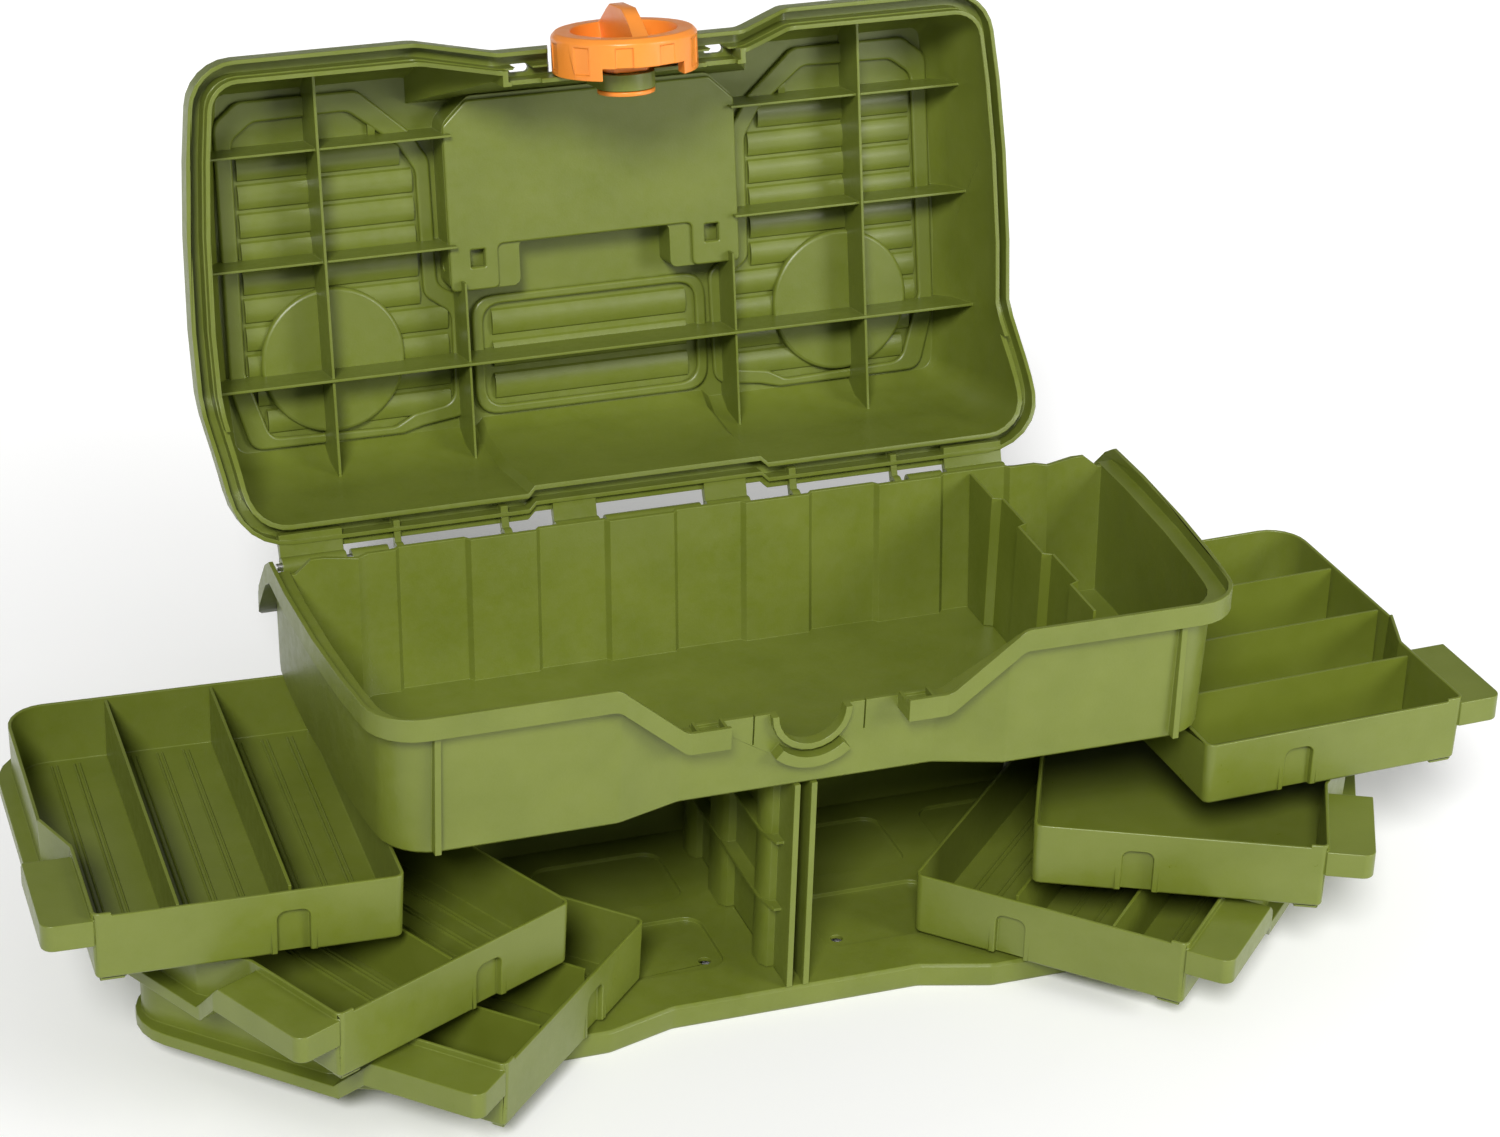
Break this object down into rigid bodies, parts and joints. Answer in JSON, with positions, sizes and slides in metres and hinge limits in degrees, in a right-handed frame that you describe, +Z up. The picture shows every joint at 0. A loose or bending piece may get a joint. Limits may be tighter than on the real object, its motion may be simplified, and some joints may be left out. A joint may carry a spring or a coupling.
{
  "type": "fishing tackle box",
  "caption": "Cantilever fishing tackle box with hinged lid, rotary knob latch, folding handle and swing-out trays on vertical pivots, shown open.",
  "frame": {"origin": "middle of the base's underside", "axes": "+X to the box's right seen from the front, +Y to the rear, +Z up; the front with the knob faces -Y"},
  "size_m": [0.7662, 0.4778, 0.4329],
  "materials": {
    "green_plastic": "satin",
    "orange_plastic": "satin",
    "steel": "satin"
  },
  "bodies": {
    "body": {"base_plate": "green_plastic", "rear_housing": "green_plastic", "column_left": "green_plastic", "column_right": "green_plastic", "deck": "green_plastic", "deck_divider": "green_plastic", "pivot_rod_left": "steel", "pivot_rod_right": "steel", "hinge_rod": "steel"},
    "lid": {"lid": "green_plastic"},
    "handle": {"handle": "green_plastic"},
    "knob": {"knob": "orange_plastic", "knob_retainer": "orange_plastic"},
    "tray_bottom_left": {"tray_bottom_left": "green_plastic", "divider_bottom_left_1": "green_plastic", "divider_bottom_left_2": "green_plastic"},
    "tray_bottom_right": {"tray_bottom_right": "green_plastic", "divider_bottom_right_1": "green_plastic", "divider_bottom_right_2": "green_plastic"},
    "tray_middle_left": {"tray_middle_left": "green_plastic", "divider_middle_left_1": "green_plastic"},
    "tray_middle_right": {"tray_middle_right": "green_plastic"},
    "tray_top_left": {"tray_top_left": "green_plastic", "divider_top_left_1": "green_plastic", "divider_top_left_2": "green_plastic"},
    "tray_top_right": {"tray_top_right": "green_plastic", "divider_top_right_1": "green_plastic", "divider_top_right_2": "green_plastic", "divider_top_right_3": "green_plastic"}
  },
  "joints": [
    {"name": "lid_hinge", "type": "hinge", "parent": "body", "child": "lid", "pos_m": [0, 0.128, 0.164], "axis": [1, 0, 0], "range_deg": [0, 101.5]},
    {"name": "knob_turn", "type": "hinge", "parent": "lid", "child": "knob", "pos_m": [0, 0.18787, 0.39806], "axis": [0, 0.1994, 0.9799], "range_deg": [0, 90]},
    {"name": "handle_fold", "type": "hinge", "parent": "lid", "child": "handle", "pos_m": [0, 0.24289, 0.27227], "axis": [-1, 0, 0], "range_deg": [0, 100]},
    {"name": "tray_bottom_left_swing", "type": "hinge", "parent": "body", "child": "tray_bottom_left", "pos_m": [-0.1955, 0.0499, 0.0333], "axis": [0, 0, -1], "range_deg": [-45, 50]},
    {"name": "tray_bottom_right_swing", "type": "hinge", "parent": "body", "child": "tray_bottom_right", "pos_m": [0.1955, 0.0499, 0.0333], "axis": [0, 0, 1], "range_deg": [-45, 50]},
    {"name": "tray_middle_left_swing", "type": "hinge", "parent": "body", "child": "tray_middle_left", "pos_m": [-0.1955, 0.0499, 0.0726], "axis": [0, 0, -1], "range_deg": [-64, 31]},
    {"name": "tray_middle_right_swing", "type": "hinge", "parent": "body", "child": "tray_middle_right", "pos_m": [0.1955, 0.0499, 0.0726], "axis": [0, 0, 1], "range_deg": [-64, 31]},
    {"name": "tray_top_left_swing", "type": "hinge", "parent": "body", "child": "tray_top_left", "pos_m": [-0.1955, 0.0499, 0.1119], "axis": [0, 0, -1], "range_deg": [-92.4, 2.6]},
    {"name": "tray_top_right_swing", "type": "hinge", "parent": "body", "child": "tray_top_right", "pos_m": [0.1955, 0.0499, 0.1119], "axis": [0, 0, 1], "range_deg": [-92.4, 2.6]}
  ]
}
